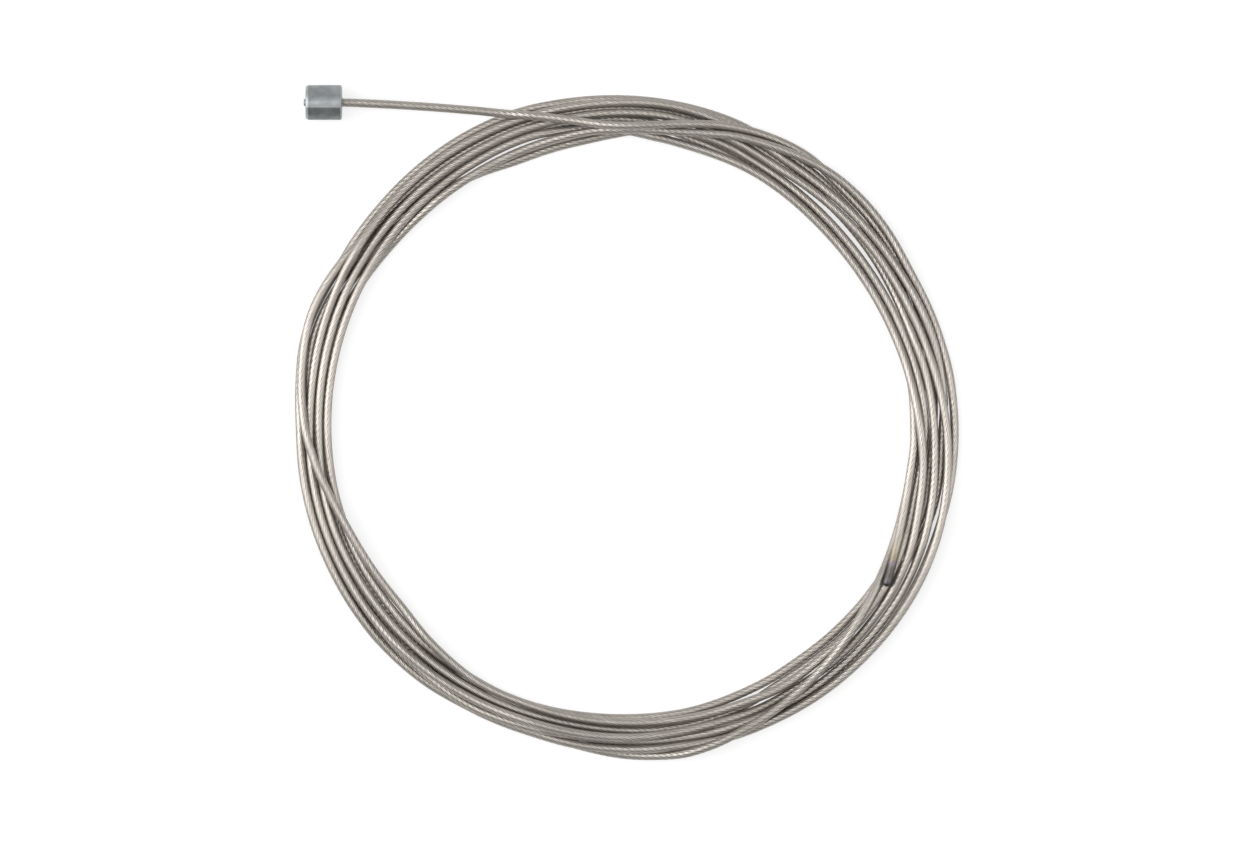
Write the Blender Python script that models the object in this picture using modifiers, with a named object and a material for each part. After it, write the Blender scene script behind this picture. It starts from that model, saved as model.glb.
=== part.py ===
"""Shift cable, coiled as it is sold and laid flat on its coil.

The object is two pieces: a die-cast zinc barrel head, and the stranded steel
cable that is cast into it. The cable leaves the head as a short straight tail,
runs on to the coil and goes round it eight times and a part. Its two solids
here are plain: a tube for the tail, and one turned ring of the outer shape of
the coil.

Everything is in metres. +Z is up, the coil lies on the plane z = 0, and the
origin is the centre of the underside of the object's box.
"""

import math

import bpy
import numpy as np
from mathutils import Vector

# Cable
CABLE_DIAMETER = 0.0011

# Head: a barrel lying on its side, with the cable leaving its front face
HEAD_DIAMETER = 0.0045
HEAD_LENGTH = 0.0046
FRONT_CHAMFER_LENGTH = 0.00026
BACK_CHAMFER_LENGTH = 0.0004
CHAMFER_DEPTH = 0.0003
NUB_DIAMETER = 0.00095
NUB_LENGTH = 0.00028
NUB_EDGE_RADIUS = 0.00012
NUB_FILLET = 0.0001

# Where the head's front face stands, from the centre of the coil, and how far
# the head's axis lies inside the straight line that touches the coil
HEAD_FRONT_X = -0.0366
HEAD_AXIS_INSET = 0.00074

# Coil: the outer shape of the laid turns
COIL_OUTER_RADIUS = 0.0425
COIL_WIDTH = 0.0059
COIL_HEIGHT = 0.003
COIL_TOP_EDGE_RADIUS = 0.0011
COIL_FOOT_EDGE_RADIUS = 0.0005

# Air left between solids that touch on the real object
SEAT_GAP = 0.0003

# The tail's route past the head's front face, chosen by hand: how far it runs
# along X and how far it falls along -Y from the head's axis. It goes on over
# the coil, so that the tube can be cut where it meets the ring.
TAIL_ROUTE = (
    (0.0, 0.0),
    (0.0014, 0.00005),
    (0.0028, 0.00011),
    (0.0043, 0.00018),
    (0.0059, 0.00026),
    (0.0077, 0.00036),
    (0.0095, 0.00047),
    (0.0113, 0.00059),
    (0.0131, 0.00072),
    (0.0149, 0.00087),
    (0.0171, 0.00105),
    (0.0196, 0.00126),
    (0.0227, 0.00153),
    (0.026, 0.00184),
    (0.0295, 0.00222),
)
TAIL_POINT_SPACING = 2.5 * CABLE_DIAMETER

# Fineness of the round shapes
HEAD_STEPS = 64
COIL_STEPS = 128
EDGE_SEGMENTS = 5
ROUTE_STEPS = 24

# Sizes that follow from the ones above
CABLE_RADIUS = CABLE_DIAMETER / 2
HEAD_RADIUS = HEAD_DIAMETER / 2
NUB_RADIUS = NUB_DIAMETER / 2
COIL_INNER_RADIUS = COIL_OUTER_RADIUS - COIL_WIDTH
TAIL_HEIGHT_AT_COIL = COIL_HEIGHT - CABLE_RADIUS
COIL_CENTRE_Y = (HEAD_AXIS_INSET - HEAD_RADIUS) / 2
HEAD_FRONT = Vector((HEAD_FRONT_X, COIL_CENTRE_Y + COIL_OUTER_RADIUS - HEAD_AXIS_INSET, HEAD_RADIUS))

PART_NAME = "shift_cable"
ZINC = {"colour": (0.42, 0.44, 0.45), "roughness": 0.42}
STAINLESS = {"colour": (0.5, 0.47, 0.43), "roughness": 0.32}
MERGE_DISTANCE = 0.000001


def clear_scene():
    """Remove what a new Blender file holds."""
    for item in list(bpy.data.objects):
        bpy.data.objects.remove(item, do_unlink=True)


def metal(name, colour, roughness):
    """A metal of one colour and roughness."""
    material = bpy.data.materials.new(name)
    material.use_nodes = True
    shader = material.node_tree.nodes["Principled BSDF"]
    shader.inputs["Base Color"].default_value = (*colour, 1.0)
    shader.inputs["Metallic"].default_value = 1.0
    shader.inputs["Roughness"].default_value = roughness
    return material


def add_object(name, data, material, collection, parent):
    """Put one named piece of the part in its collection, under its parent."""
    data.materials.append(material)
    piece = bpy.data.objects.new(name, data)
    piece.parent = parent
    collection.objects.link(piece)
    return piece


def arc(centre, radius, start, end):
    """Points of an arc, as (radius, height) pairs, from one angle to another in degrees."""
    angles = np.radians(np.linspace(start, end, EDGE_SEGMENTS + 1))
    return [(centre[0] + radius * math.cos(a), centre[1] + radius * math.sin(a)) for a in angles]


def add_screw(piece, steps):
    """Turn a piece's profile once round its own Z axis."""
    screw = piece.modifiers.new("Turn", "SCREW")
    screw.axis = "Z"
    screw.steps = steps
    screw.render_steps = steps
    screw.use_merge_vertices = True
    screw.merge_threshold = MERGE_DISTANCE
    screw.use_smooth_shade = True


def head_profile():
    """Half section of the head, from the middle of its front face to the tip of its nub.

    Height 0 is the front face. The back face carries the small round nub where
    the cable's upset end shows through the casting.
    """
    back = -HEAD_LENGTH
    nub_tip = back - NUB_LENGTH
    fillet_centre = (NUB_RADIUS + NUB_FILLET, back - NUB_FILLET)
    edge_centre = (NUB_RADIUS - NUB_EDGE_RADIUS, nub_tip + NUB_EDGE_RADIUS)
    profile = [
        (0.0, 0.0),
        (HEAD_RADIUS - CHAMFER_DEPTH, 0.0),
        (HEAD_RADIUS, -FRONT_CHAMFER_LENGTH),
        (HEAD_RADIUS, back + BACK_CHAMFER_LENGTH),
        (HEAD_RADIUS - CHAMFER_DEPTH, back),
    ]
    profile += arc(fillet_centre, NUB_FILLET, 90, 180)
    profile += arc(edge_centre, NUB_EDGE_RADIUS, 0, -90)
    profile.append((0.0, nub_tip))
    return profile


def coil_profile():
    """Section of the laid turns: flat underneath, with round edges, wider ones on top."""
    top = COIL_HEIGHT - COIL_TOP_EDGE_RADIUS
    foot = COIL_FOOT_EDGE_RADIUS
    outer_top = (COIL_OUTER_RADIUS - COIL_TOP_EDGE_RADIUS, top)
    outer_foot = (COIL_OUTER_RADIUS - foot, foot)
    inner_foot = (COIL_INNER_RADIUS + foot, foot)
    inner_top = (COIL_INNER_RADIUS + COIL_TOP_EDGE_RADIUS, top)
    profile = arc(outer_top, COIL_TOP_EDGE_RADIUS, 90, 0)
    profile += arc(outer_foot, foot, 0, -90)
    profile += arc(inner_foot, foot, 270, 180)
    profile += arc(inner_top, COIL_TOP_EDGE_RADIUS, 180, 90)
    return profile


def add_turned(name, profile, closed, steps, material, collection, parent):
    """Add one turned piece: its profile, and the modifier that turns it."""
    mesh = bpy.data.meshes.new(name)
    edges = [(i, i + 1) for i in range(len(profile) - 1)]
    if closed:
        edges.append((len(profile) - 1, 0))
    mesh.from_pydata([(r, 0.0, z) for r, z in profile], edges, [])
    piece = add_object(name, mesh, material, collection, parent)
    add_screw(piece, steps)
    return piece


def smooth_route(points):
    """A smooth curve through the route's points: each span is a cubic whose slope at
    a point is that of the line between the point's two neighbours."""
    ends = [2 * points[0] - points[1], *points, 2 * points[-1] - points[-2]]
    t = np.linspace(0.0, 1.0, ROUTE_STEPS, endpoint=False)[:, None]
    spans = []
    for a, b, c, d in zip(ends, ends[1:], ends[2:], ends[3:]):
        spans.append(b + 0.5 * t * ((c - a) + t * ((2 * a - 5 * b + 4 * c - d)
                                                   + t * (3 * (b - c) + d - a))))
    spans.append(points[-1][None, :])
    return np.concatenate(spans)


def tail_points():
    """Points along the tail, a few diameters apart, from the head to the coil's side."""
    route = np.array(TAIL_ROUTE)
    rise = route[:, 0] / route[-1, 0]
    rise = rise * rise * (3 - 2 * rise)
    height = HEAD_FRONT.z + (TAIL_HEIGHT_AT_COIL - HEAD_FRONT.z) * rise
    points = np.column_stack((HEAD_FRONT.x + SEAT_GAP + route[:, 0], HEAD_FRONT.y - route[:, 1], height))
    curve = smooth_route(points)
    from_axis = np.hypot(curve[:, 0], curve[:, 1] - COIL_CENTRE_Y)
    clear = from_axis > COIL_OUTER_RADIUS + SEAT_GAP + CABLE_RADIUS
    curve = curve[: int(np.argmin(clear))]
    along = np.concatenate(([0.0], np.cumsum(np.linalg.norm(np.diff(curve, axis=0), axis=1))))
    count = int(round(along[-1] / TAIL_POINT_SPACING)) + 1
    stations = np.linspace(0.0, along[-1], count)
    return np.column_stack([np.interp(stations, along, curve[:, axis]) for axis in range(3)])


def add_tail(material, collection, parent):
    """The tail: a round tube along its route, closed at both ends."""
    points = tail_points()
    curve = bpy.data.curves.new("cable_tail", "CURVE")
    curve.dimensions = "3D"
    curve.bevel_depth = CABLE_RADIUS
    curve.bevel_resolution = 2
    curve.use_fill_caps = True
    spline = curve.splines.new("POLY")
    spline.points.add(len(points) - 1)
    for point, place in zip(spline.points, points):
        point.co = (*place, 1.0)
    return add_object("cable_tail", curve, material, collection, parent)


def add_head(material, collection, parent):
    """The head, turned about its own axis and laid along X."""
    head = add_turned("cable_head", head_profile(), False, HEAD_STEPS, material, collection, parent)
    head.location = HEAD_FRONT
    head.rotation_euler = (0.0, math.radians(90), 0.0)
    return head


def add_coil(material, collection, parent):
    """The coil, turned about the vertical through its centre."""
    coil = add_turned("cable_coil", coil_profile(), True, COIL_STEPS, material, collection, parent)
    coil.location = (0.0, COIL_CENTRE_Y, 0.0)
    return coil


def main():
    clear_scene()
    collection = bpy.data.collections.new(PART_NAME)
    bpy.context.scene.collection.children.link(collection)
    root = bpy.data.objects.new(PART_NAME, None)
    collection.objects.link(root)
    zinc = metal("cast_zinc", **ZINC)
    stainless = metal("stranded_stainless", **STAINLESS)
    add_head(zinc, collection, root)
    add_tail(stainless, collection, root)
    add_coil(stainless.copy(), collection, root)


main()
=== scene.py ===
"""The looks of the shift cable: a stranded steel cable with a die-cast barrel head, laid in a flat coil.

Everything is in metres unless a name says otherwise, in the same frame as the solids: +Z is up and the
cable lies on the plane z = 0.
"""
import math

import bpy
import numpy as np
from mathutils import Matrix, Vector


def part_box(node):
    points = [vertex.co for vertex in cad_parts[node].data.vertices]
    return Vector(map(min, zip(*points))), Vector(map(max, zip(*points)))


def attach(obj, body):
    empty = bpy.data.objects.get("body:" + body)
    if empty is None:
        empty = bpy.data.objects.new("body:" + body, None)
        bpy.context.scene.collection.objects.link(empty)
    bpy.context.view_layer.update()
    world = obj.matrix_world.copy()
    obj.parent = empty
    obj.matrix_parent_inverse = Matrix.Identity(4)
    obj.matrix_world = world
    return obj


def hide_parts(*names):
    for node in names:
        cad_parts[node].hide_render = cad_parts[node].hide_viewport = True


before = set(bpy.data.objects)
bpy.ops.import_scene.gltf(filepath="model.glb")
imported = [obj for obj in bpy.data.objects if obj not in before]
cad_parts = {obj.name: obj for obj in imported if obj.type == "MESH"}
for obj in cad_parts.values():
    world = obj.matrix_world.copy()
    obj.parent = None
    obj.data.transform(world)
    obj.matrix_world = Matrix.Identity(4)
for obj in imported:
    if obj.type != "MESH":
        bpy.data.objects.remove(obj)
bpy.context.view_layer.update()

MM = 0.001

# Added where a distance could be nothing, or where a whole number could round down to the one below
TINY = 1e-9

# The camera, and the real width that the photograph takes in at the cable's height
FRAME_WIDTH = 0.1609
CAMERA_HEIGHT = 1.2
CAMERA_AIM = (0.0, -0.00005, 0.0015)
SENSOR_WIDTH = 36.0
CLIP_START = 0.01

# Cable: one layer of outer wires laid round a core
CABLE_DIAMETER = 0.0011
OUTER_WIRES = 12
LAY_LENGTH = 0.010
WIRE_POINTS = 3
GROOVE_DEPTH = 0.000045
GROOVE_POWER = 4
RING_SPACING = 0.00082
ROUTE_STEPS = 6

# Head: a barrel on its side, cast in two halves that meet in a small step
HEAD_LENGTH = 0.0046
FRONT_CHAMFER_LENGTH = 0.00014
BACK_CHAMFER_LENGTH = 0.00032
CHAMFER_DEPTH = 0.00016
NUB_RADIUS = 0.000475
NUB_LENGTH = 0.00028
NUB_CHAMFER = 0.0001
AXIS_CLEARANCE = 0.00005
HEAD_POINTS_ROUND = 240
HEAD_POINT_SPACING = 0.00007

# The step, in degrees round from the top towards -Y. Its drop fades out between 54 and 144 degrees,
# where STEP_FADE_START less the angle over STEP_FADE_DEGREES falls from 1 to 0.
STEP_DEGREES = 19.0
STEP_WIDTH_DEGREES = 2.5
STEP_DEPTH = 0.00005
STEP_LIP = 0.00003
LIP_SHARPNESS = 0.6
STEP_FADE_START = 1.6
STEP_FADE_DEGREES = 90.0

# The cut end: the wires are fused and rounded over
FUSED_LENGTH = 0.0022
FUSED_SWELL = 0.00002
DOME_LENGTH = 0.0004
DOME_RINGS = 5
DOME_TIP_SHARE = 0.02

# The tail's route past the head's front face, given: how far it runs along X and how far it
# falls along -Y from the head's axis. It starts this far from the face.
SEAT_GAP = 0.0003
TAIL_ROUTE = (
    (0.0, 0.0),
    (0.0014, 0.00005),
    (0.0028, 0.00011),
    (0.0043, 0.00018),
    (0.0059, 0.00026),
    (0.0077, 0.00036),
    (0.0095, 0.00047),
    (0.0113, 0.00059),
    (0.0131, 0.00072),
    (0.0149, 0.00087),
    (0.0171, 0.00105),
)

# Where each turn of the coil lies. The points were chosen in the photo's pixels, beside its ridges
# and valleys, then turned into mm and thinned to 12 to 31 a turn. A turn is read clockwise, as (angle in
# degrees, distance from the coil's centre in mm, layer). Angle 0 is +X and 90 is +Y. Layer 0 lies on the
# surface, and each one above it on the turns below. A turn's last point comes before 360 degrees, and
# the cable runs smoothly from there to the next turn's first point.
TURN_LANES = (
    ((112.6, 43.7, 2.4), (105, 41.3, 2.4), (90, 38.7, 2.6), (85, 39, 2.5), (70, 41, 1.8),
     (60, 41.8, 1), (55, 41.9, 0.8), (50, 41.3, 0.9), (40, 41.1, 0.7), (30, 40.7, 0), (20, 40.3, 0),
     (5, 39.4, 0), (-5, 39.1, 0), (-10, 39.1, 0), (-15, 39.5, 0), (-25, 38.4, 0), (-30, 37.7, 0),
     (-35, 37.6, 0), (-45, 37.3, 0), (-65, 37, 0), (-80, 37.2, 0), (-90, 37.2, 0), (-120, 37.9, 0),
     (-145, 38.1, 0.8), (-160, 38.4, 0.8), (-180, 38.5, 0.9), (-230, 39.2, 1), (-245, 39.4, 1)),
    ((110, 39.5, 1), (95, 38.5, 0.9), (90, 38.2, 0.9), (80, 37.2, 0.3), (65, 36.7, 0.7),
     (45, 35.9, 0.5), (10, 36.8, 1.1), (0, 37.5, 1.8), (-5, 38, 2), (-15, 38.7, 1.4), (-30, 39.8, 1),
     (-40, 39.9, 1), (-50, 39.9, 1), (-55, 39.7, 1), (-65, 39.7, 1), (-70, 39.5, 1), (-90, 39.6, 1),
     (-105, 39.6, 1), (-140, 40.6, 1), (-170, 40.9, 1), (-185, 40.8, 0.9), (-200, 41.2, 1),
     (-230, 42, 1)),
    ((90, 41.8, 1), (85, 41.8, 1), (65, 40.4, 0.8), (60, 39.9, 1), (55, 39.8, 1.1), (35, 40.1, 1.1),
     (15, 40.8, 0.9), (5, 40.8, 0.3), (0, 40.4, 0), (-15, 40.5, 0), (-20, 40.1, 0), (-30, 39.3, 0),
     (-40, 38.3, 0.1), (-60, 38.1, 0.3), (-65, 38.5, 0.2), (-80, 38.9, 0.5), (-100, 38.6, 0.8),
     (-130, 39.1, 1), (-150, 39.5, 1), (-160, 39.8, 1), (-180, 39.6, 1), (-210, 40.2, 1.1),
     (-240, 40.5, 1)),
    ((100, 40.5, 1), (80, 40.2, 0.8), (70, 39.4, 0.3), (60, 38.6, 0.9), (55, 38.6, 1), (30, 39.1, 1.4),
     (20, 39.4, 1.4), (0, 40.9, 1.5), (-20, 42.1, 1), (-50, 42.1, 1), (-90, 41.1, 1), (-100, 41, 0.9),
     (-105, 40.8, 0.6), (-120, 41.1, 0.1), (-130, 41.6, 0), (-140, 41.8, 0), (-170, 42, 0.4),
     (-185, 42.1, 0.2), (-195, 43.1, 0), (-197, 43.2, 0), (-200, 43, 0), (-205, 42.7, 0),
     (-210, 42.3, 0), (-215, 42.4, 0), (-245, 42.9, 0)),
    ((110, 42.9, 0), (100, 42.5, 0), (70, 41.4, 0), (60, 40.7, 0), (50, 40.4, 0), (40, 39.9, 0),
     (30, 39.7, 0), (20, 39.1, 0), (0, 37.3, 0), (-10, 36.7, 0), (-20, 37, 0.6), (-35, 38, 1.9),
     (-50, 39.5, 2.2), (-70, 41.5, 2), (-75, 42, 1.6), (-90, 41.9, 0), (-100, 41, 0), (-110, 40.5, 0),
     (-120, 39.9, 0), (-150, 40, 0), (-180, 40.1, 0), (-190, 39.6, 0), (-205, 39.1, 0.1),
     (-230, 38.1, 0.9)),
    ((105, 38.2, 1), (95, 38.4, 1.6), (90, 38.3, 1.8), (75, 39.1, 1.8), (70, 39.9, 2), (65, 40.4, 2.1),
     (50, 41.9, 1.9), (35, 41.7, 1.1), (30, 41.4, 1), (20, 41.6, 1), (5, 41.9, 0.8), (-10, 42, 0),
     (-20, 41.9, 0), (-30, 42.1, 0), (-50, 41.9, 0), (-100, 39.9, 0), (-130, 38.5, 0), (-140, 38.7, 0),
     (-160, 39, 0), (-180, 39.4, 0), (-195, 40.4, 0), (-205, 40.4, 0), (-215, 39.5, 0),
     (-220, 39.2, 0), (-230, 38.5, 0), (-240, 37.9, 0), (-245, 37.3, 0)),
    ((105, 37.2, 0), (95, 37.6, 0), (90, 38.2, 0), (85, 38.5, 0.5), (70, 38.4, 0.9), (65, 37.9, 0.9),
     (60, 37.6, 0.9), (30, 37, 0.7), (20, 37.3, 0.8), (0, 38.1, 0.9), (-10, 37.8, 0.8), (-25, 38.5, 1),
     (-40, 38.7, 1), (-50, 38.5, 1), (-60, 38.6, 1), (-65, 38.3, 1), (-75, 38, 1), (-110, 37.7, 1),
     (-120, 37.8, 1), (-130, 37.4, 0.5), (-135, 37.2, 0.2), (-140, 36.9, 0), (-150, 37.3, 0.4),
     (-165, 38.7, 2.1), (-170, 39.6, 2.2), (-180, 41.3, 2.1), (-190, 42.4, 1.7), (-200, 43.1, 1.2),
     (-210, 42.4, 0.8), (-215, 41.8, 0.3), (-235, 41.2, 0)),
    ((90, 41, 0), (80, 40.7, 0), (75, 40.2, 0), (70, 39.8, 0), (65, 39.7, 0), (55, 38.9, 0),
     (40, 38.6, 0), (20, 38.4, 0.7), (10, 38.9, 1), (0, 39.3, 1), (-5, 39.5, 1), (-10, 39.9, 1),
     (-25, 40.8, 1), (-50, 41, 1), (-80, 40.4, 0.8), (-100, 40.1, 0.3), (-110, 40.4, 0.6),
     (-120, 40.9, 0.5), (-130, 40.8, 0.2), (-140, 41, 0.2), (-160, 41.3, 0.4), (-170, 41.5, 0.4),
     (-180, 41, 0), (-185, 41.1, 0), (-195, 41.9, 0), (-210, 41.1, 0), (-215, 40.6, 0), (-230, 40.2, 0)),
    ((100, 39.8, 0), (85, 39.2, 0), (80, 38.3, 0), (70, 37.3, 0), (65, 36.8, 0), (50, 36.5, 0),
     (30, 36.4, 0), (10, 36.9, 0), (0, 36.9, 0.3), (-10, 36.7, 1.3), (-25, 37.8, 2), (-31.4, 38.8, 2)),
)

# Laying: how the turns settle on each other. LAYER_RISE and TURN_GAP are in cable diameters, and
# HIDING_RISE is in layers.
FIRST_ANGLE = 112.6
STATION_DEGREES = 2.0
STATION_MARGIN = 0.01
LAYING_STEPS = 400
PUSHES_A_STEP = 2
LAYER_RISE = 0.87
SINK = 0.004 * MM
BEND_SHARE = 0.25
OPEN_PULL = 0.35
HIDDEN_PULL = 0.05
HIDING_RISE = 0.4
HIDING_REACH = 0.6 * CABLE_DIAMETER
PULL_BLENDS = 6
PUSH_SHARE = 0.3
TURN_GAP = 1.02
FAR_OUT = 1.0

# Stainless wires. Noise scales are per metre, but across the cable a wire is the unit. Ramps along the
# cable, and along the head's section, take 1 as one centimetre.
PER_CENTIMETRE = 100.0
STREAKS_ALONG = 260.0
STREAKS_ACROSS = 3.0
STREAK_DETAIL = 3.0
STEEL_COLOURS = ((0.3, (0.45, 0.42, 0.38)), (0.5, (0.58, 0.545, 0.50)), (0.7, (0.78, 0.745, 0.70)))
TONE_SCALE = 140.0
TONE_DETAIL = 3.0
TONE_SHARE = 0.4
DULL_STEEL = (0.30, 0.26, 0.215, 1.0)
# The grooves between wires are darkened partly by old grease and partly by painted shade, where neighbouring
# wires shade each other.
GROOVE_SHARES = ((0.0, 0.0), (0.4, 0.0), (0.7, 0.35), (1.0, 1.0))
GREASE_AND_SHADE_SHARE = 0.65
GREASE_AND_SHADE = (0.12, 0.105, 0.09, 1.0)
HEAT_COLOURS = ((0.0, (0.06, 0.06, 0.058)), (0.08, (0.12, 0.115, 0.12)), (0.14, (0.08, 0.08, 0.066)),
                (0.25, (0.09, 0.083, 0.07)), (0.30, (0.17, 0.14, 0.19)), (0.36, (0.24, 0.195, 0.13)),
                (0.50, (0.40, 0.34, 0.25)), (0.72, (0.48, 0.44, 0.38)))
HEAT_SHARES = ((0.0, 1.0), (0.45, 0.8), (0.7, 0.0))
STEEL_METALLIC = 0.9
STEEL_ROUGHNESS = (0.33, 0.47)
STREAK_RELIEF = (0.25, 0.00001)

# Cast zinc. The head's tones are set by the share of the way round the side, against the photo, and
# paint its light and shade: a painted highlight towards the +Y edge and along the crown, and painted shade
# below the step. The rim shares put a painted highlight on the two chamfers, and SIDE_SHARES lie between
# them.
MOTTLE_SCALE = 900.0
MOTTLE_DETAIL = 4.0
GRAIN_SCALE = 5200.0
GRAIN_DETAIL = 2.0
ZINC_COLOURS = ((0.3, (0.31, 0.335, 0.345)), (0.5, (0.39, 0.41, 0.42)), (0.7, (0.49, 0.51, 0.515)))
# A paler zinc for the painted highlight on both chamfers.
RIM_HIGHLIGHT_COLOUR = (0.50, 0.52, 0.53, 1.0)
RIM_HIGHLIGHT_SHARES = ((0.20, 0.0), (0.208, 1.0), (0.218, 1.0), (0.226, 0.0),
              (0.63, 0.0), (0.65, 1.0), (0.665, 1.0), (0.675, 0.0))
SIDE_SHARES = ((0.20, 0.0), (0.215, 1.0), (0.64, 1.0), (0.66, 0.0))
HEAD_PAINTED_LIGHT = ((0.27, 1.0), (0.32, 0.85), (0.48, 0.84), (0.505, 1.0), (0.53, 0.95), (0.555, 0.84),
              (0.56, 0.56), (0.68, 0.66), (0.75, 0.78), (0.9, 0.84))
END_TONE = (0.84, 0.84, 0.84, 1.0)
ZINC_METALLIC = 0.95
ZINC_ROUGHNESS = (0.48, 0.66)
GRAIN_RELIEF = (0.3, 0.00002)

# Studio
WHITE = (1.0, 1.0, 1.0, 1.0)
FLOOR_SIZE = 3.0
FLOOR_COLOUR = (0.82, 0.82, 0.82, 1.0)
FLOOR_ROUGHNESS = 0.9
FLOOR_WHITE = 1.2
FLOOR_WHITE_SHARE = 0.6
WORLD_LEVEL = 0.28
SOFT_LIGHTS = (
    ("left_softbox", (-0.85, 0.08, 0.85), 0.7, 1.7, 13.2),
    ("right_softbox", (0.85, -0.04, 0.85), 0.7, 1.4, 5.2),
    ("back_softbox", (0.0, 1.0, 0.5), 1.2, 0.6, 1.2),
    ("top_softbox", (0.0, 0.1, 1.4), 2.2, 1.0, 2.4),
)

# Places and sizes read from the solids
HEAD_LOW, HEAD_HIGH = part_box("cable_head")
COIL_LOW, COIL_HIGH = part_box("cable_coil")
HEAD_FRONT = Vector((HEAD_HIGH.x, (HEAD_LOW.y + HEAD_HIGH.y) / 2, (HEAD_LOW.z + HEAD_HIGH.z) / 2))
COIL_CENTRE = Vector(((COIL_LOW.x + COIL_HIGH.x) / 2, (COIL_LOW.y + COIL_HIGH.y) / 2, 0.0))
CABLE_RADIUS = CABLE_DIAMETER / 2


def ease(share):
    """A soft step from 0 at 0 to 1 at 1, level at both: three times the square less twice the cube."""
    return share * share * (3 - 2 * share)


def smooth_through(x, xs, ys):
    """Values at x of a smooth curve through the points (xs, ys): each span is the cubic that has the
    points' values at its ends, and as slopes there the means of the neighbouring lines' slopes, each
    weighted with the other line's length. At the first and last point the slope is the end line's."""
    steps = np.diff(xs)
    slopes = np.diff(ys) / steps
    at_points = np.empty_like(ys)
    at_points[1:-1] = (slopes[:-1] * steps[1:] + slopes[1:] * steps[:-1]) / (steps[:-1] + steps[1:])
    at_points[0], at_points[-1] = slopes[0], slopes[-1]
    span = np.clip(np.searchsorted(xs, x) - 1, 0, len(xs) - 2)
    h = steps[span]
    t = (x - xs[span]) / h
    values = ys[span] * (1 + 2 * t) * (1 - t) ** 2 + ys[span + 1] * t * t * (3 - 2 * t)
    return values + h * t * (1 - t) * (at_points[span] * (1 - t) - at_points[span + 1] * t)


def lanes():
    """Stations along the coil, a fixed angle apart, with each one's wished distance and layer."""
    travelled, distance, layer = [], [], []
    for turn, points in enumerate(TURN_LANES):
        for angle, reach, level in points:
            travelled.append(FIRST_ANGLE - angle + 360.0 * turn)
            distance.append(reach * MM)
            layer.append(level)
    travelled, distance = np.array(travelled), np.array(distance)
    stations = np.arange(0.0, travelled[-1] + STATION_MARGIN, STATION_DEGREES)
    return stations, smooth_through(stations, travelled, distance), np.interp(stations, travelled, layer)


def push_apart(distance, height):
    """Move turns that would lie in each other at a station apart, along the line between their centres in
    the upright plane through the coil's axis, each by a share of what they overlap. Nothing is compared
    between two stations."""
    moved = np.zeros((2, *distance.shape))
    for one in range(len(distance)):
        for other in range(one + 1, len(distance)):
            across = distance[one] - distance[other]
            above = height[one] - height[other]
            apart = np.hypot(across, above) + TINY
            share = np.clip(TURN_GAP * CABLE_DIAMETER - apart, 0.0, None) * PUSH_SHARE / apart
            moved[0, one] += across * share
            moved[0, other] -= across * share
            moved[1, one] += above * share
            moved[1, other] -= above * share
    return distance + moved[0], height + moved[1]


def lane_pull(distance, layer):
    """How strongly each station is held to its lane: firmly where it is seen, and hardly where a turn
    lies over it. The change from one to the other is blended along the cable."""
    hidden = np.zeros(distance.shape, bool)
    for turn in range(len(distance)):
        over = (layer > layer[turn] + HIDING_RISE) & (np.abs(distance - distance[turn]) < HIDING_REACH)
        hidden[turn] = over.any(axis=0)
    pull = np.where(hidden, HIDDEN_PULL, OPEN_PULL).ravel()
    for _ in range(PULL_BLENDS):
        pull[1:-1] = 0.25 * pull[:-2] + 0.5 * pull[1:-1] + 0.25 * pull[2:]
    return pull


def settle(wished, layer):
    """Lay the cable in its lanes. Step by step each station sinks a little, bends towards the middle of
    its two neighbours, is drawn back to its lane, is kept on the surface, and is pushed off the turns
    that it would lie in at that angle. Stations that the last turn lacks are put far outside the coil."""
    turns = len(TURN_LANES)
    round_count = int(360 / STATION_DEGREES)
    spare = turns * round_count - len(wished)
    far = FAR_OUT + np.arange(spare)
    pull = lane_pull(np.concatenate((wished, far)).reshape(turns, round_count),
                     np.concatenate((layer, 0 * far)).reshape(turns, round_count))[: len(wished)]
    distance, height = wished.copy(), CABLE_RADIUS + layer * CABLE_DIAMETER * LAYER_RISE
    for _ in range(LAYING_STEPS):
        height -= SINK
        for values in (distance, height):
            values[1:-1] += BEND_SHARE * (0.5 * (values[:-2] + values[2:]) - values[1:-1])
        distance += pull * (wished - distance)
        for _ in range(PUSHES_A_STEP):
            height = np.maximum(height, CABLE_RADIUS)
            across = np.concatenate((distance, far)).reshape(turns, round_count)
            up = np.concatenate((height, 0 * far)).reshape(turns, round_count)
            across, up = push_apart(across, up)
            distance = across.ravel()[: len(wished)]
            height = up.ravel()[: len(wished)]
    return distance, np.maximum(height, CABLE_RADIUS)


def smooth_route(points, steps):
    """A smooth curve through the points: each span is a cubic whose slope at a point is that of the line
    between the point's two neighbours."""
    ends = np.concatenate(([2 * points[0] - points[1]], points, [2 * points[-1] - points[-2]]))[:, None]
    a, b, c, d = (ends[k : k + len(points) - 1] for k in range(4))
    t = np.linspace(0.0, 1.0, steps, endpoint=False)[None, :, None]
    spans = b + 0.5 * t * ((c - a) + t * ((2 * a - 5 * b + 4 * c - d) + t * (3 * (b - c) + d - a)))
    return np.concatenate((spans.reshape(-1, 3), points[-1:]))


def lengths_along(points):
    """How far along the line through the points each of them is."""
    return np.concatenate(([0.0], np.cumsum(np.linalg.norm(np.diff(points, axis=0), axis=1))))


def resample(points, stations):
    """Points of the line at the given distances along it."""
    along = lengths_along(points)
    return np.column_stack([np.interp(stations, along, points[:, axis]) for axis in range(3)])


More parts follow.
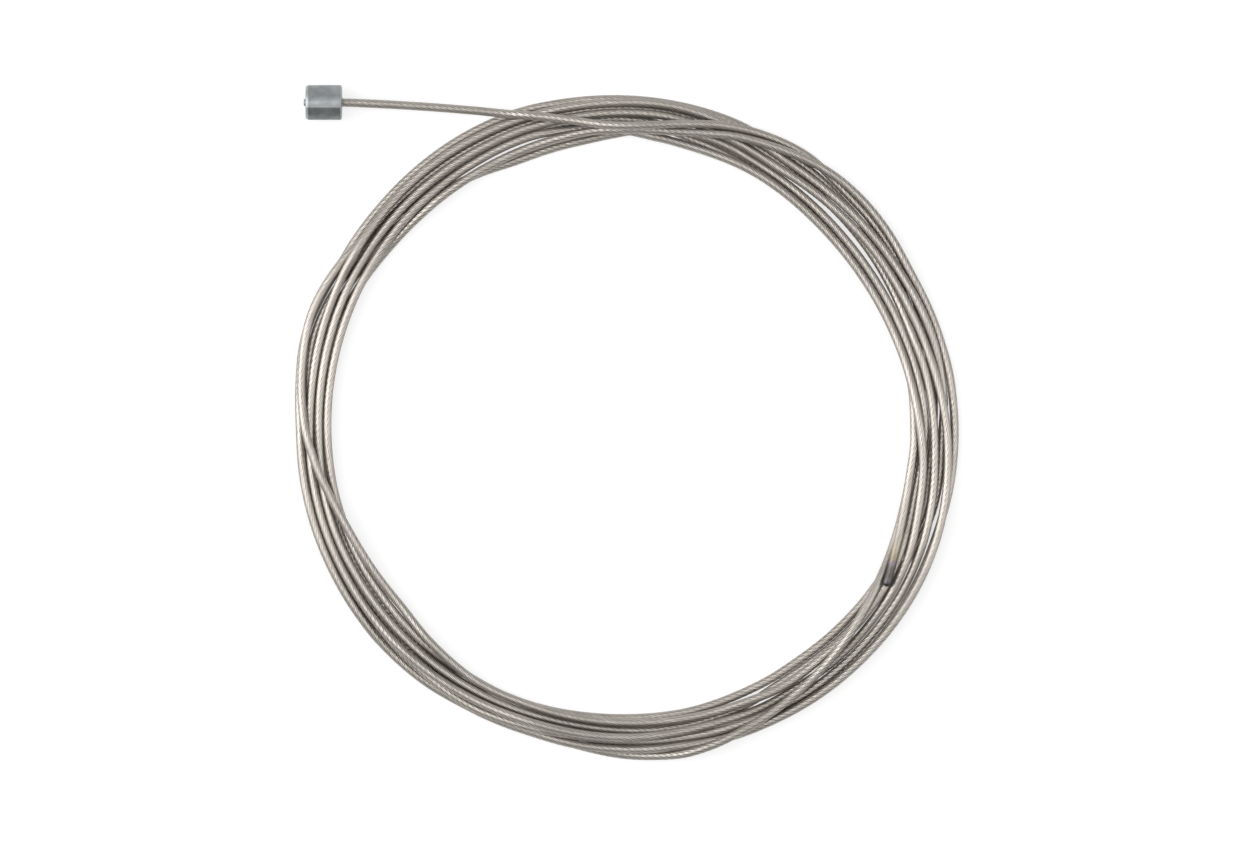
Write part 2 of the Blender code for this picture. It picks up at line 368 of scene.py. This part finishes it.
def cable_centreline():
    """The cable's centreline: straight out of the head, along the tail and round the coil to the cut end."""
    stations, wished, layer = lanes()
    distance, height = settle(wished, layer)
    angles = np.radians(FIRST_ANGLE - stations)
    coil = np.column_stack((COIL_CENTRE.x + distance * np.cos(angles),
                            COIL_CENTRE.y + distance * np.sin(angles), height))
    route = np.array(TAIL_ROUTE)
    rise = ease((SEAT_GAP + route[:, 0]) / (coil[1, 0] - HEAD_FRONT.x))
    tail = np.column_stack((HEAD_FRONT.x + SEAT_GAP + route[:, 0], HEAD_FRONT.y - route[:, 1],
                            HEAD_FRONT.z + (height[1] - HEAD_FRONT.z) * rise))
    points = np.concatenate(([np.array(HEAD_FRONT)], tail, coil[1:]))
    curve = smooth_route(points, ROUTE_STEPS)
    along = lengths_along(curve)
    count = int(round(along[-1] / RING_SPACING)) + 1
    return resample(curve, np.linspace(0.0, along[-1], count))


def tube_frames(points):
    """Unit vectors at each point of a line that is never upright: along it, level across it, and the
    third square to both."""
    ahead = np.gradient(points, axis=0)
    ahead /= np.linalg.norm(ahead, axis=1)[:, None]
    across = np.cross((0.0, 0.0, 1.0), ahead)
    across /= np.linalg.norm(across, axis=1)[:, None]
    return ahead, across, np.cross(ahead, across)


def tube_mesh(name, rings, lengths):
    """A closed tube through the rings of points, with its two ends closed by a point in their middles.
    Its UV map holds the length along the tube, in metres, and the share of the way round."""
    count, around = rings.shape[:2]
    vertices = np.concatenate((rings.reshape(-1, 3), rings[:1].mean(axis=1), rings[-1:].mean(axis=1)))
    i, j = np.meshgrid(np.arange(count - 1), np.arange(around), indexing="ij")
    i, j = i.ravel(), j.ravel()
    k = (j + 1) % around
    quads = np.stack((i * around + j, i * around + k, (i + 1) * around + k, (i + 1) * around + j), axis=1)
    quad_uv = np.stack((lengths[i], j / around, lengths[i], (j + 1) / around,
                        lengths[i + 1], (j + 1) / around, lengths[i + 1], j / around), axis=1)
    j = np.arange(around)
    k = (j + 1) % around
    first, last = count * around, count * around + 1
    start_cap = np.stack((k, j, np.full(around, first)), axis=1)
    base = (count - 1) * around
    end_cap = np.stack((base + j, base + k, np.full(around, last)), axis=1)
    share = j / around
    start_uv = np.stack((0 * share, share + 1 / around, 0 * share, share, 0 * share, share), axis=1)
    end = np.full(around, lengths[-1])
    end_uv = np.stack((end, share, end, share + 1 / around, end, share), axis=1)
    mesh = bpy.data.meshes.new(name)
    loops = np.concatenate((quads.ravel(), start_cap.ravel(), end_cap.ravel()))
    sizes = np.concatenate((np.full(len(quads), 4), np.full(2 * around, 3)))
    mesh.vertices.add(len(vertices))
    mesh.vertices.foreach_set("co", vertices.astype(np.float32).ravel())
    mesh.loops.add(len(loops))
    mesh.loops.foreach_set("vertex_index", loops.astype(np.int32))
    mesh.polygons.add(len(sizes))
    mesh.polygons.foreach_set("loop_start", np.concatenate(([0], np.cumsum(sizes)[:-1])).astype(np.int32))
    mesh.polygons.foreach_set("use_smooth", np.ones(len(sizes), bool))
    uv = mesh.uv_layers.new(name="lay")
    places = np.concatenate((quad_uv.ravel(), start_uv.ravel(), end_uv.ravel()))
    uv.data.foreach_set("uv", places.astype(np.float32))
    mesh.update(calc_edges=True)
    mesh.validate()
    return mesh


def add_piece(name, mesh, material, replaced):
    """Put a finished piece in the scene, standing for the solids named."""
    piece = bpy.data.objects.new(name, mesh)
    bpy.context.scene.collection.objects.link(piece)
    mesh.materials.append(material)
    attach(piece, "root")
    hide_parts(*replaced)
    return piece


def add_cable():
    """The cable: a tube whose section has a rounded ridge for each outer wire, with a groove between two
    that deepens by the fourth power from the crown. The ridges turn once round in each lay length, and
    fade where the wires are fused at the cut end, which closes in a dome, a quarter of an ellipse."""
    centres = cable_centreline()
    lead = centres[0] - np.array((SEAT_GAP, 0.0, 0.0))
    tube = np.concatenate(([lead], centres))
    along = lengths_along(tube)
    dome = 1 - np.cos(np.linspace(0.0, math.pi / 2, DOME_RINGS + 1))[::-1]
    dome_stations = along[-1] - DOME_LENGTH * dome
    stations = np.concatenate((along[along < along[-1] - DOME_LENGTH - RING_SPACING / 4], dome_stations))
    tube = resample(tube, stations)
    _, across, up = tube_frames(tube)
    points_round = OUTER_WIRES * WIRE_POINTS
    place = np.arange(points_round) / points_round
    turn = 2 * math.pi * (place[None, :] + stations[:, None] / LAY_LENGTH)
    groove = (2 * np.modf(place * OUTER_WIRES + TINY)[0] - 1) ** GROOVE_POWER
    to_end = along[-1] - stations
    fused = ease(np.clip(1 - to_end / FUSED_LENGTH, 0.0, 1.0))
    radius = CABLE_RADIUS + FUSED_SWELL * fused[:, None] - GROOVE_DEPTH * groove * (1 - fused[:, None])
    into_dome = np.clip(1 - to_end / DOME_LENGTH, 0.0, 1.0)
    radius = radius * np.sqrt(np.clip(1 - into_dome ** 2, DOME_TIP_SHARE ** 2, 1.0))[:, None]
    rings = tube[:, None] + radius[..., None] * (np.cos(turn)[..., None] * across[:, None]
                                                 + np.sin(turn)[..., None] * up[:, None])
    mesh = tube_mesh("shift_cable", rings, stations)
    from_end = np.concatenate((np.repeat(to_end, points_round), [along[-1], 0.0]))
    mesh.attributes.new("from_end", "FLOAT", "POINT").data.foreach_set("value", from_end.astype(np.float32))
    piece = add_piece("shift_cable", mesh, stainless_material(), ("cable_tail", "cable_coil"))


def add_head():
    """The barrel head, turned about its own axis. Its half section runs from the front face over both
    chamfers to the nub behind. On one side of the top, where the casting's halves meet, the radius first
    swells to a thin lip and then drops by a step that fades out towards the underside."""
    radius = (HEAD_HIGH.y - HEAD_LOW.y) / 2
    tip = HEAD_LENGTH + NUB_LENGTH
    section = np.array((
        (0.0, AXIS_CLEARANCE), (0.0, radius - CHAMFER_DEPTH), (FRONT_CHAMFER_LENGTH, radius),
        (HEAD_LENGTH - BACK_CHAMFER_LENGTH, radius), (HEAD_LENGTH, radius - CHAMFER_DEPTH),
        (HEAD_LENGTH, NUB_RADIUS + NUB_CHAMFER), (HEAD_LENGTH + NUB_CHAMFER, NUB_RADIUS),
        (tip - NUB_CHAMFER, NUB_RADIUS), (tip, NUB_RADIUS - NUB_CHAMFER), (tip, AXIS_CLEARANCE)))
    section = np.column_stack((section, np.zeros(len(section))))
    length = lengths_along(section)[-1]
    section = resample(section, np.linspace(0.0, length, int(length / HEAD_POINT_SPACING)))
    turn = np.linspace(-math.pi, math.pi, HEAD_POINTS_ROUND, endpoint=False)[None, :]
    past_step = (np.degrees(turn) - STEP_DEGREES) / STEP_WIDTH_DEGREES
    fade = np.clip(STEP_FADE_START - np.degrees(turn) / STEP_FADE_DEGREES, 0.0, 1.0)
    drop = np.clip(past_step, 0.0, 1.0) * fade
    lip = np.exp(-(past_step * LIP_SHARPNESS) ** 2)
    reach = section[:, 1:2] + (STEP_LIP * lip - STEP_DEPTH * drop) * section[:, 1:2] / radius
    rings = np.stack((HEAD_FRONT.x - section[:, :1] + 0 * reach,
                      HEAD_FRONT.y - reach * np.sin(turn), HEAD_FRONT.z + reach * np.cos(turn)), axis=2)
    mesh = tube_mesh("barrel_head", rings, lengths_along(section))
    add_piece("barrel_head", mesh, zinc_material(), ("cable_head",))


def add_node(tree, kind, inputs=None, **settings):
    """Add a shader node. Inputs are numbers, colours or the sockets that feed them."""
    node = tree.nodes.new(kind)
    for name, value in settings.items():
        setattr(node, name, value)
    for socket, value in (inputs or {}).items():
        if isinstance(value, bpy.types.NodeSocket):
            tree.links.new(value, node.inputs[socket])
        else:
            node.inputs[socket].default_value = value
    return node


def calculate(tree, operation, first, second=0.0):
    """The result of one sum on numbers or sockets."""
    return add_node(tree, "ShaderNodeMath", {0: first, 1: second}, operation=operation).outputs[0]


def ramp(tree, factor, stops):
    """Colours along a factor, as (place, colour) stops."""
    node = add_node(tree, "ShaderNodeValToRGB", {"Fac": factor})
    elements = node.color_ramp.elements
    while len(elements) < len(stops):
        elements.new(1.0)
    for element, (place, colour) in zip(elements, stops):
        element.position = place
        element.color = (*colour, 1.0)
    return node.outputs["Color"]


def share_ramp(tree, factor, stops):
    """Shares along a factor, as greys, from (place, share) stops."""
    return ramp(tree, factor, tuple((place, (share, share, share)) for place, share in stops))


def mix_colours(tree, factor, first, second, blend="MIX"):
    """One colour blended with another by a factor. The node's sockets for colours are 6, 7 and 2."""
    inputs = {0: factor, 6: first, 7: second}
    return add_node(tree, "ShaderNodeMix", inputs, data_type="RGBA", blend_type=blend).outputs[2]


def noise(tree, place, scale, detail):
    """Soft noise at a place, from 0 to 1."""
    node = add_node(tree, "ShaderNodeTexNoise", {"Vector": place, "Scale": scale, "Detail": detail})
    return node.outputs[0]


def spread(tree, value, limits):
    """A value from 0 to 1, carried over to the range between two limits."""
    low, high = limits
    return add_node(tree, "ShaderNodeMapRange", {"Value": value, "To Min": low, "To Max": high}).outputs[0]


def add_relief(tree, shader, height, relief):
    """Give a shader fine relief from a height. The relief is a strength and a depth in metres."""
    strength, depth = relief
    bump = add_node(tree, "ShaderNodeBump", {"Height": height, "Strength": strength, "Distance": depth})
    tree.links.new(bump.outputs[0], shader.inputs["Normal"])


def new_material(name):
    """A material with the tree and the shader that it starts with."""
    material = bpy.data.materials.new(name)
    material.use_nodes = True
    return material, material.node_tree, material.node_tree.nodes["Principled BSDF"]


def stainless_material():
    """Drawn stainless wires: grooves darkened with old grease and painted shade, streaks along each wire,
    slow changes of tone from place to place, and heat colours over the last millimetres before the cut end."""
    material, tree, shader = new_material("stranded_stainless")
    lay = add_node(tree, "ShaderNodeUVMap", uv_map="lay").outputs[0]
    split = add_node(tree, "ShaderNodeSeparateXYZ", {0: lay}).outputs
    wire = calculate(tree, "MULTIPLY", split[1], float(OUTER_WIRES))
    beside = calculate(tree, "ABSOLUTE", calculate(tree, "SUBTRACT", calculate(tree, "FRACT", wire), 0.5))
    groove = share_ramp(tree, calculate(tree, "MULTIPLY", beside, 2.0), GROOVE_SHARES)
    along = calculate(tree, "MULTIPLY", split[0], STREAKS_ALONG)
    across = calculate(tree, "MULTIPLY", wire, STREAKS_ACROSS)
    place = add_node(tree, "ShaderNodeCombineXYZ", {0: along, 1: across}).outputs[0]
    streaks = noise(tree, place, 1.0, STREAK_DETAIL)
    where = add_node(tree, "ShaderNodeTexCoord").outputs["Object"]
    tone = noise(tree, where, TONE_SCALE, TONE_DETAIL)
    steel = ramp(tree, streaks, STEEL_COLOURS)
    steel = mix_colours(tree, calculate(tree, "MULTIPLY", tone, TONE_SHARE), steel, DULL_STEEL)
    # Painted shade together with grease: the colour darkens towards each groove between the wires.
    steel = mix_colours(tree, calculate(tree, "MULTIPLY", groove, GREASE_AND_SHADE_SHARE), steel, GREASE_AND_SHADE)
    from_end = add_node(tree, "ShaderNodeAttribute", attribute_name="from_end").outputs["Fac"]
    heat_place = calculate(tree, "MULTIPLY", from_end, PER_CENTIMETRE)
    heat = ramp(tree, heat_place, HEAT_COLOURS)
    fade = share_ramp(tree, heat_place, HEAT_SHARES)
    colour = mix_colours(tree, fade, steel, heat)
    shader.inputs["Metallic"].default_value = STEEL_METALLIC
    tree.links.new(colour, shader.inputs["Base Color"])
    rough = spread(tree, streaks, STEEL_ROUGHNESS)
    tree.links.new(rough, shader.inputs["Roughness"])
    add_relief(tree, shader, streaks, STREAK_RELIEF)
    return material


def zinc_material():
    """Die-cast zinc: cool grey, softly mottled, with fine cast grain, a painted highlight on both rims and
    along the crown above the step, a painted highlight towards the +Y edge, and painted shade below the
    step."""
    material, tree, shader = new_material("cast_zinc")
    where = add_node(tree, "ShaderNodeTexCoord").outputs["Object"]
    mottle = noise(tree, where, MOTTLE_SCALE, MOTTLE_DETAIL)
    grain = noise(tree, where, GRAIN_SCALE, GRAIN_DETAIL)
    colour = ramp(tree, mottle, ZINC_COLOURS)
    lay = add_node(tree, "ShaderNodeUVMap", uv_map="lay").outputs[0]
    split = add_node(tree, "ShaderNodeSeparateXYZ", {0: lay}).outputs
    along = calculate(tree, "MULTIPLY", split[0], PER_CENTIMETRE)
    # Painted highlight: the paler colour over both chamfers.
    rim_highlight = share_ramp(tree, along, RIM_HIGHLIGHT_SHARES)
    # Painted light and shade round the barrel's side: highlights towards the +Y edge and along the crown,
    # shade below the step.
    tone = share_ramp(tree, split[1], HEAD_PAINTED_LIGHT)
    side = share_ramp(tree, along, SIDE_SHARES)
    tone = mix_colours(tree, side, END_TONE, tone)
    colour = mix_colours(tree, 1.0, colour, tone, "MULTIPLY")
    colour = mix_colours(tree, rim_highlight, colour, RIM_HIGHLIGHT_COLOUR)
    tree.links.new(colour, shader.inputs["Base Color"])
    shader.inputs["Metallic"].default_value = ZINC_METALLIC
    rough = spread(tree, mottle, ZINC_ROUGHNESS)
    tree.links.new(rough, shader.inputs["Roughness"])
    add_relief(tree, shader, grain, GRAIN_RELIEF)
    return material


def floor_material():
    """A pale studio floor that takes the cable's shadow. What the camera, gloss and glass see of it is
    mostly plain white, with a share of the lit surface left in."""
    material, tree, shader = new_material("studio_floor")
    shader.inputs["Base Color"].default_value = FLOOR_COLOUR
    shader.inputs["Roughness"].default_value = FLOOR_ROUGHNESS
    shader.inputs["Specular IOR Level"].default_value = 0.0
    share = calculate(tree, "MULTIPLY", seen_directly(tree), FLOOR_WHITE_SHARE)
    white = add_node(tree, "ShaderNodeEmission", {"Color": WHITE, "Strength": FLOOR_WHITE})
    both = add_node(tree, "ShaderNodeMixShader", {0: share, 1: shader.outputs[0], 2: white.outputs[0]})
    tree.links.new(both.outputs[0], tree.nodes["Material Output"].inputs["Surface"])
    return material


def seen_directly(tree):
    """1 for what the camera sees, by itself or in gloss or glass, and otherwise 0."""
    path = add_node(tree, "ShaderNodeLightPath").outputs
    seen = calculate(tree, "MAXIMUM", path["Is Camera Ray"], path["Is Glossy Ray"])
    return calculate(tree, "MAXIMUM", seen, path["Is Transmission Ray"])


def add_floor():
    """A flat square floor under the cable."""
    half = FLOOR_SIZE / 2
    mesh = bpy.data.meshes.new("floor")
    corners = ((-half, -half, 0.0), (half, -half, 0.0), (half, half, 0.0), (-half, half, 0.0))
    mesh.from_pydata(corners, [], [(0, 1, 2, 3)])
    mesh.materials.append(floor_material())
    floor = bpy.data.objects.new("floor", mesh)
    bpy.context.scene.collection.objects.link(floor)


def add_world():
    """White surroundings, which the camera sees at full strength and which light the scene faintly."""
    world = bpy.data.worlds.new("studio")
    bpy.context.scene.world = world
    world.use_nodes = True
    tree = world.node_tree
    background = tree.nodes["Background"]
    path = add_node(tree, "ShaderNodeLightPath").outputs
    extra = calculate(tree, "MULTIPLY", path["Is Camera Ray"], 1.0 - WORLD_LEVEL)
    background.inputs["Color"].default_value = WHITE
    tree.links.new(calculate(tree, "ADD", extra, WORLD_LEVEL), background.inputs["Strength"])


def add_soft_light(name, place, width, height, power):
    """A rectangular studio lamp that faces the scene's origin, close to the middle of the coil."""
    data = bpy.data.lights.new(name, "AREA")
    data.shape = "RECTANGLE"
    data.size, data.size_y = width, height
    data.energy = power
    lamp = bpy.data.objects.new(name, data)
    lamp.location = place
    lamp.rotation_euler = (-Vector(place)).to_track_quat("-Z", "Y").to_euler()
    bpy.context.scene.collection.objects.link(lamp)


def add_camera():
    """The camera looks straight down, from far enough that the height of the cable hardly shifts it."""
    data = bpy.data.cameras.new("camera")
    data.sensor_fit = "HORIZONTAL"
    data.sensor_width = SENSOR_WIDTH
    data.lens = SENSOR_WIDTH * (CAMERA_HEIGHT - CAMERA_AIM[2]) / FRAME_WIDTH
    data.clip_start = CLIP_START
    camera = bpy.data.objects.new("camera", data)
    camera.location = (CAMERA_AIM[0], CAMERA_AIM[1], CAMERA_HEIGHT)
    bpy.context.scene.collection.objects.link(camera)
    bpy.context.scene.camera = camera


def main():
    """Make the whole scene, the camera and the cable first."""
    add_camera()
    add_cable()
    add_head()
    add_floor()
    add_world()
    for name, place, width, height, power in SOFT_LIGHTS:
        add_soft_light(name, place, width, height, power)
    bpy.context.scene.view_settings.view_transform = "Standard"


main()
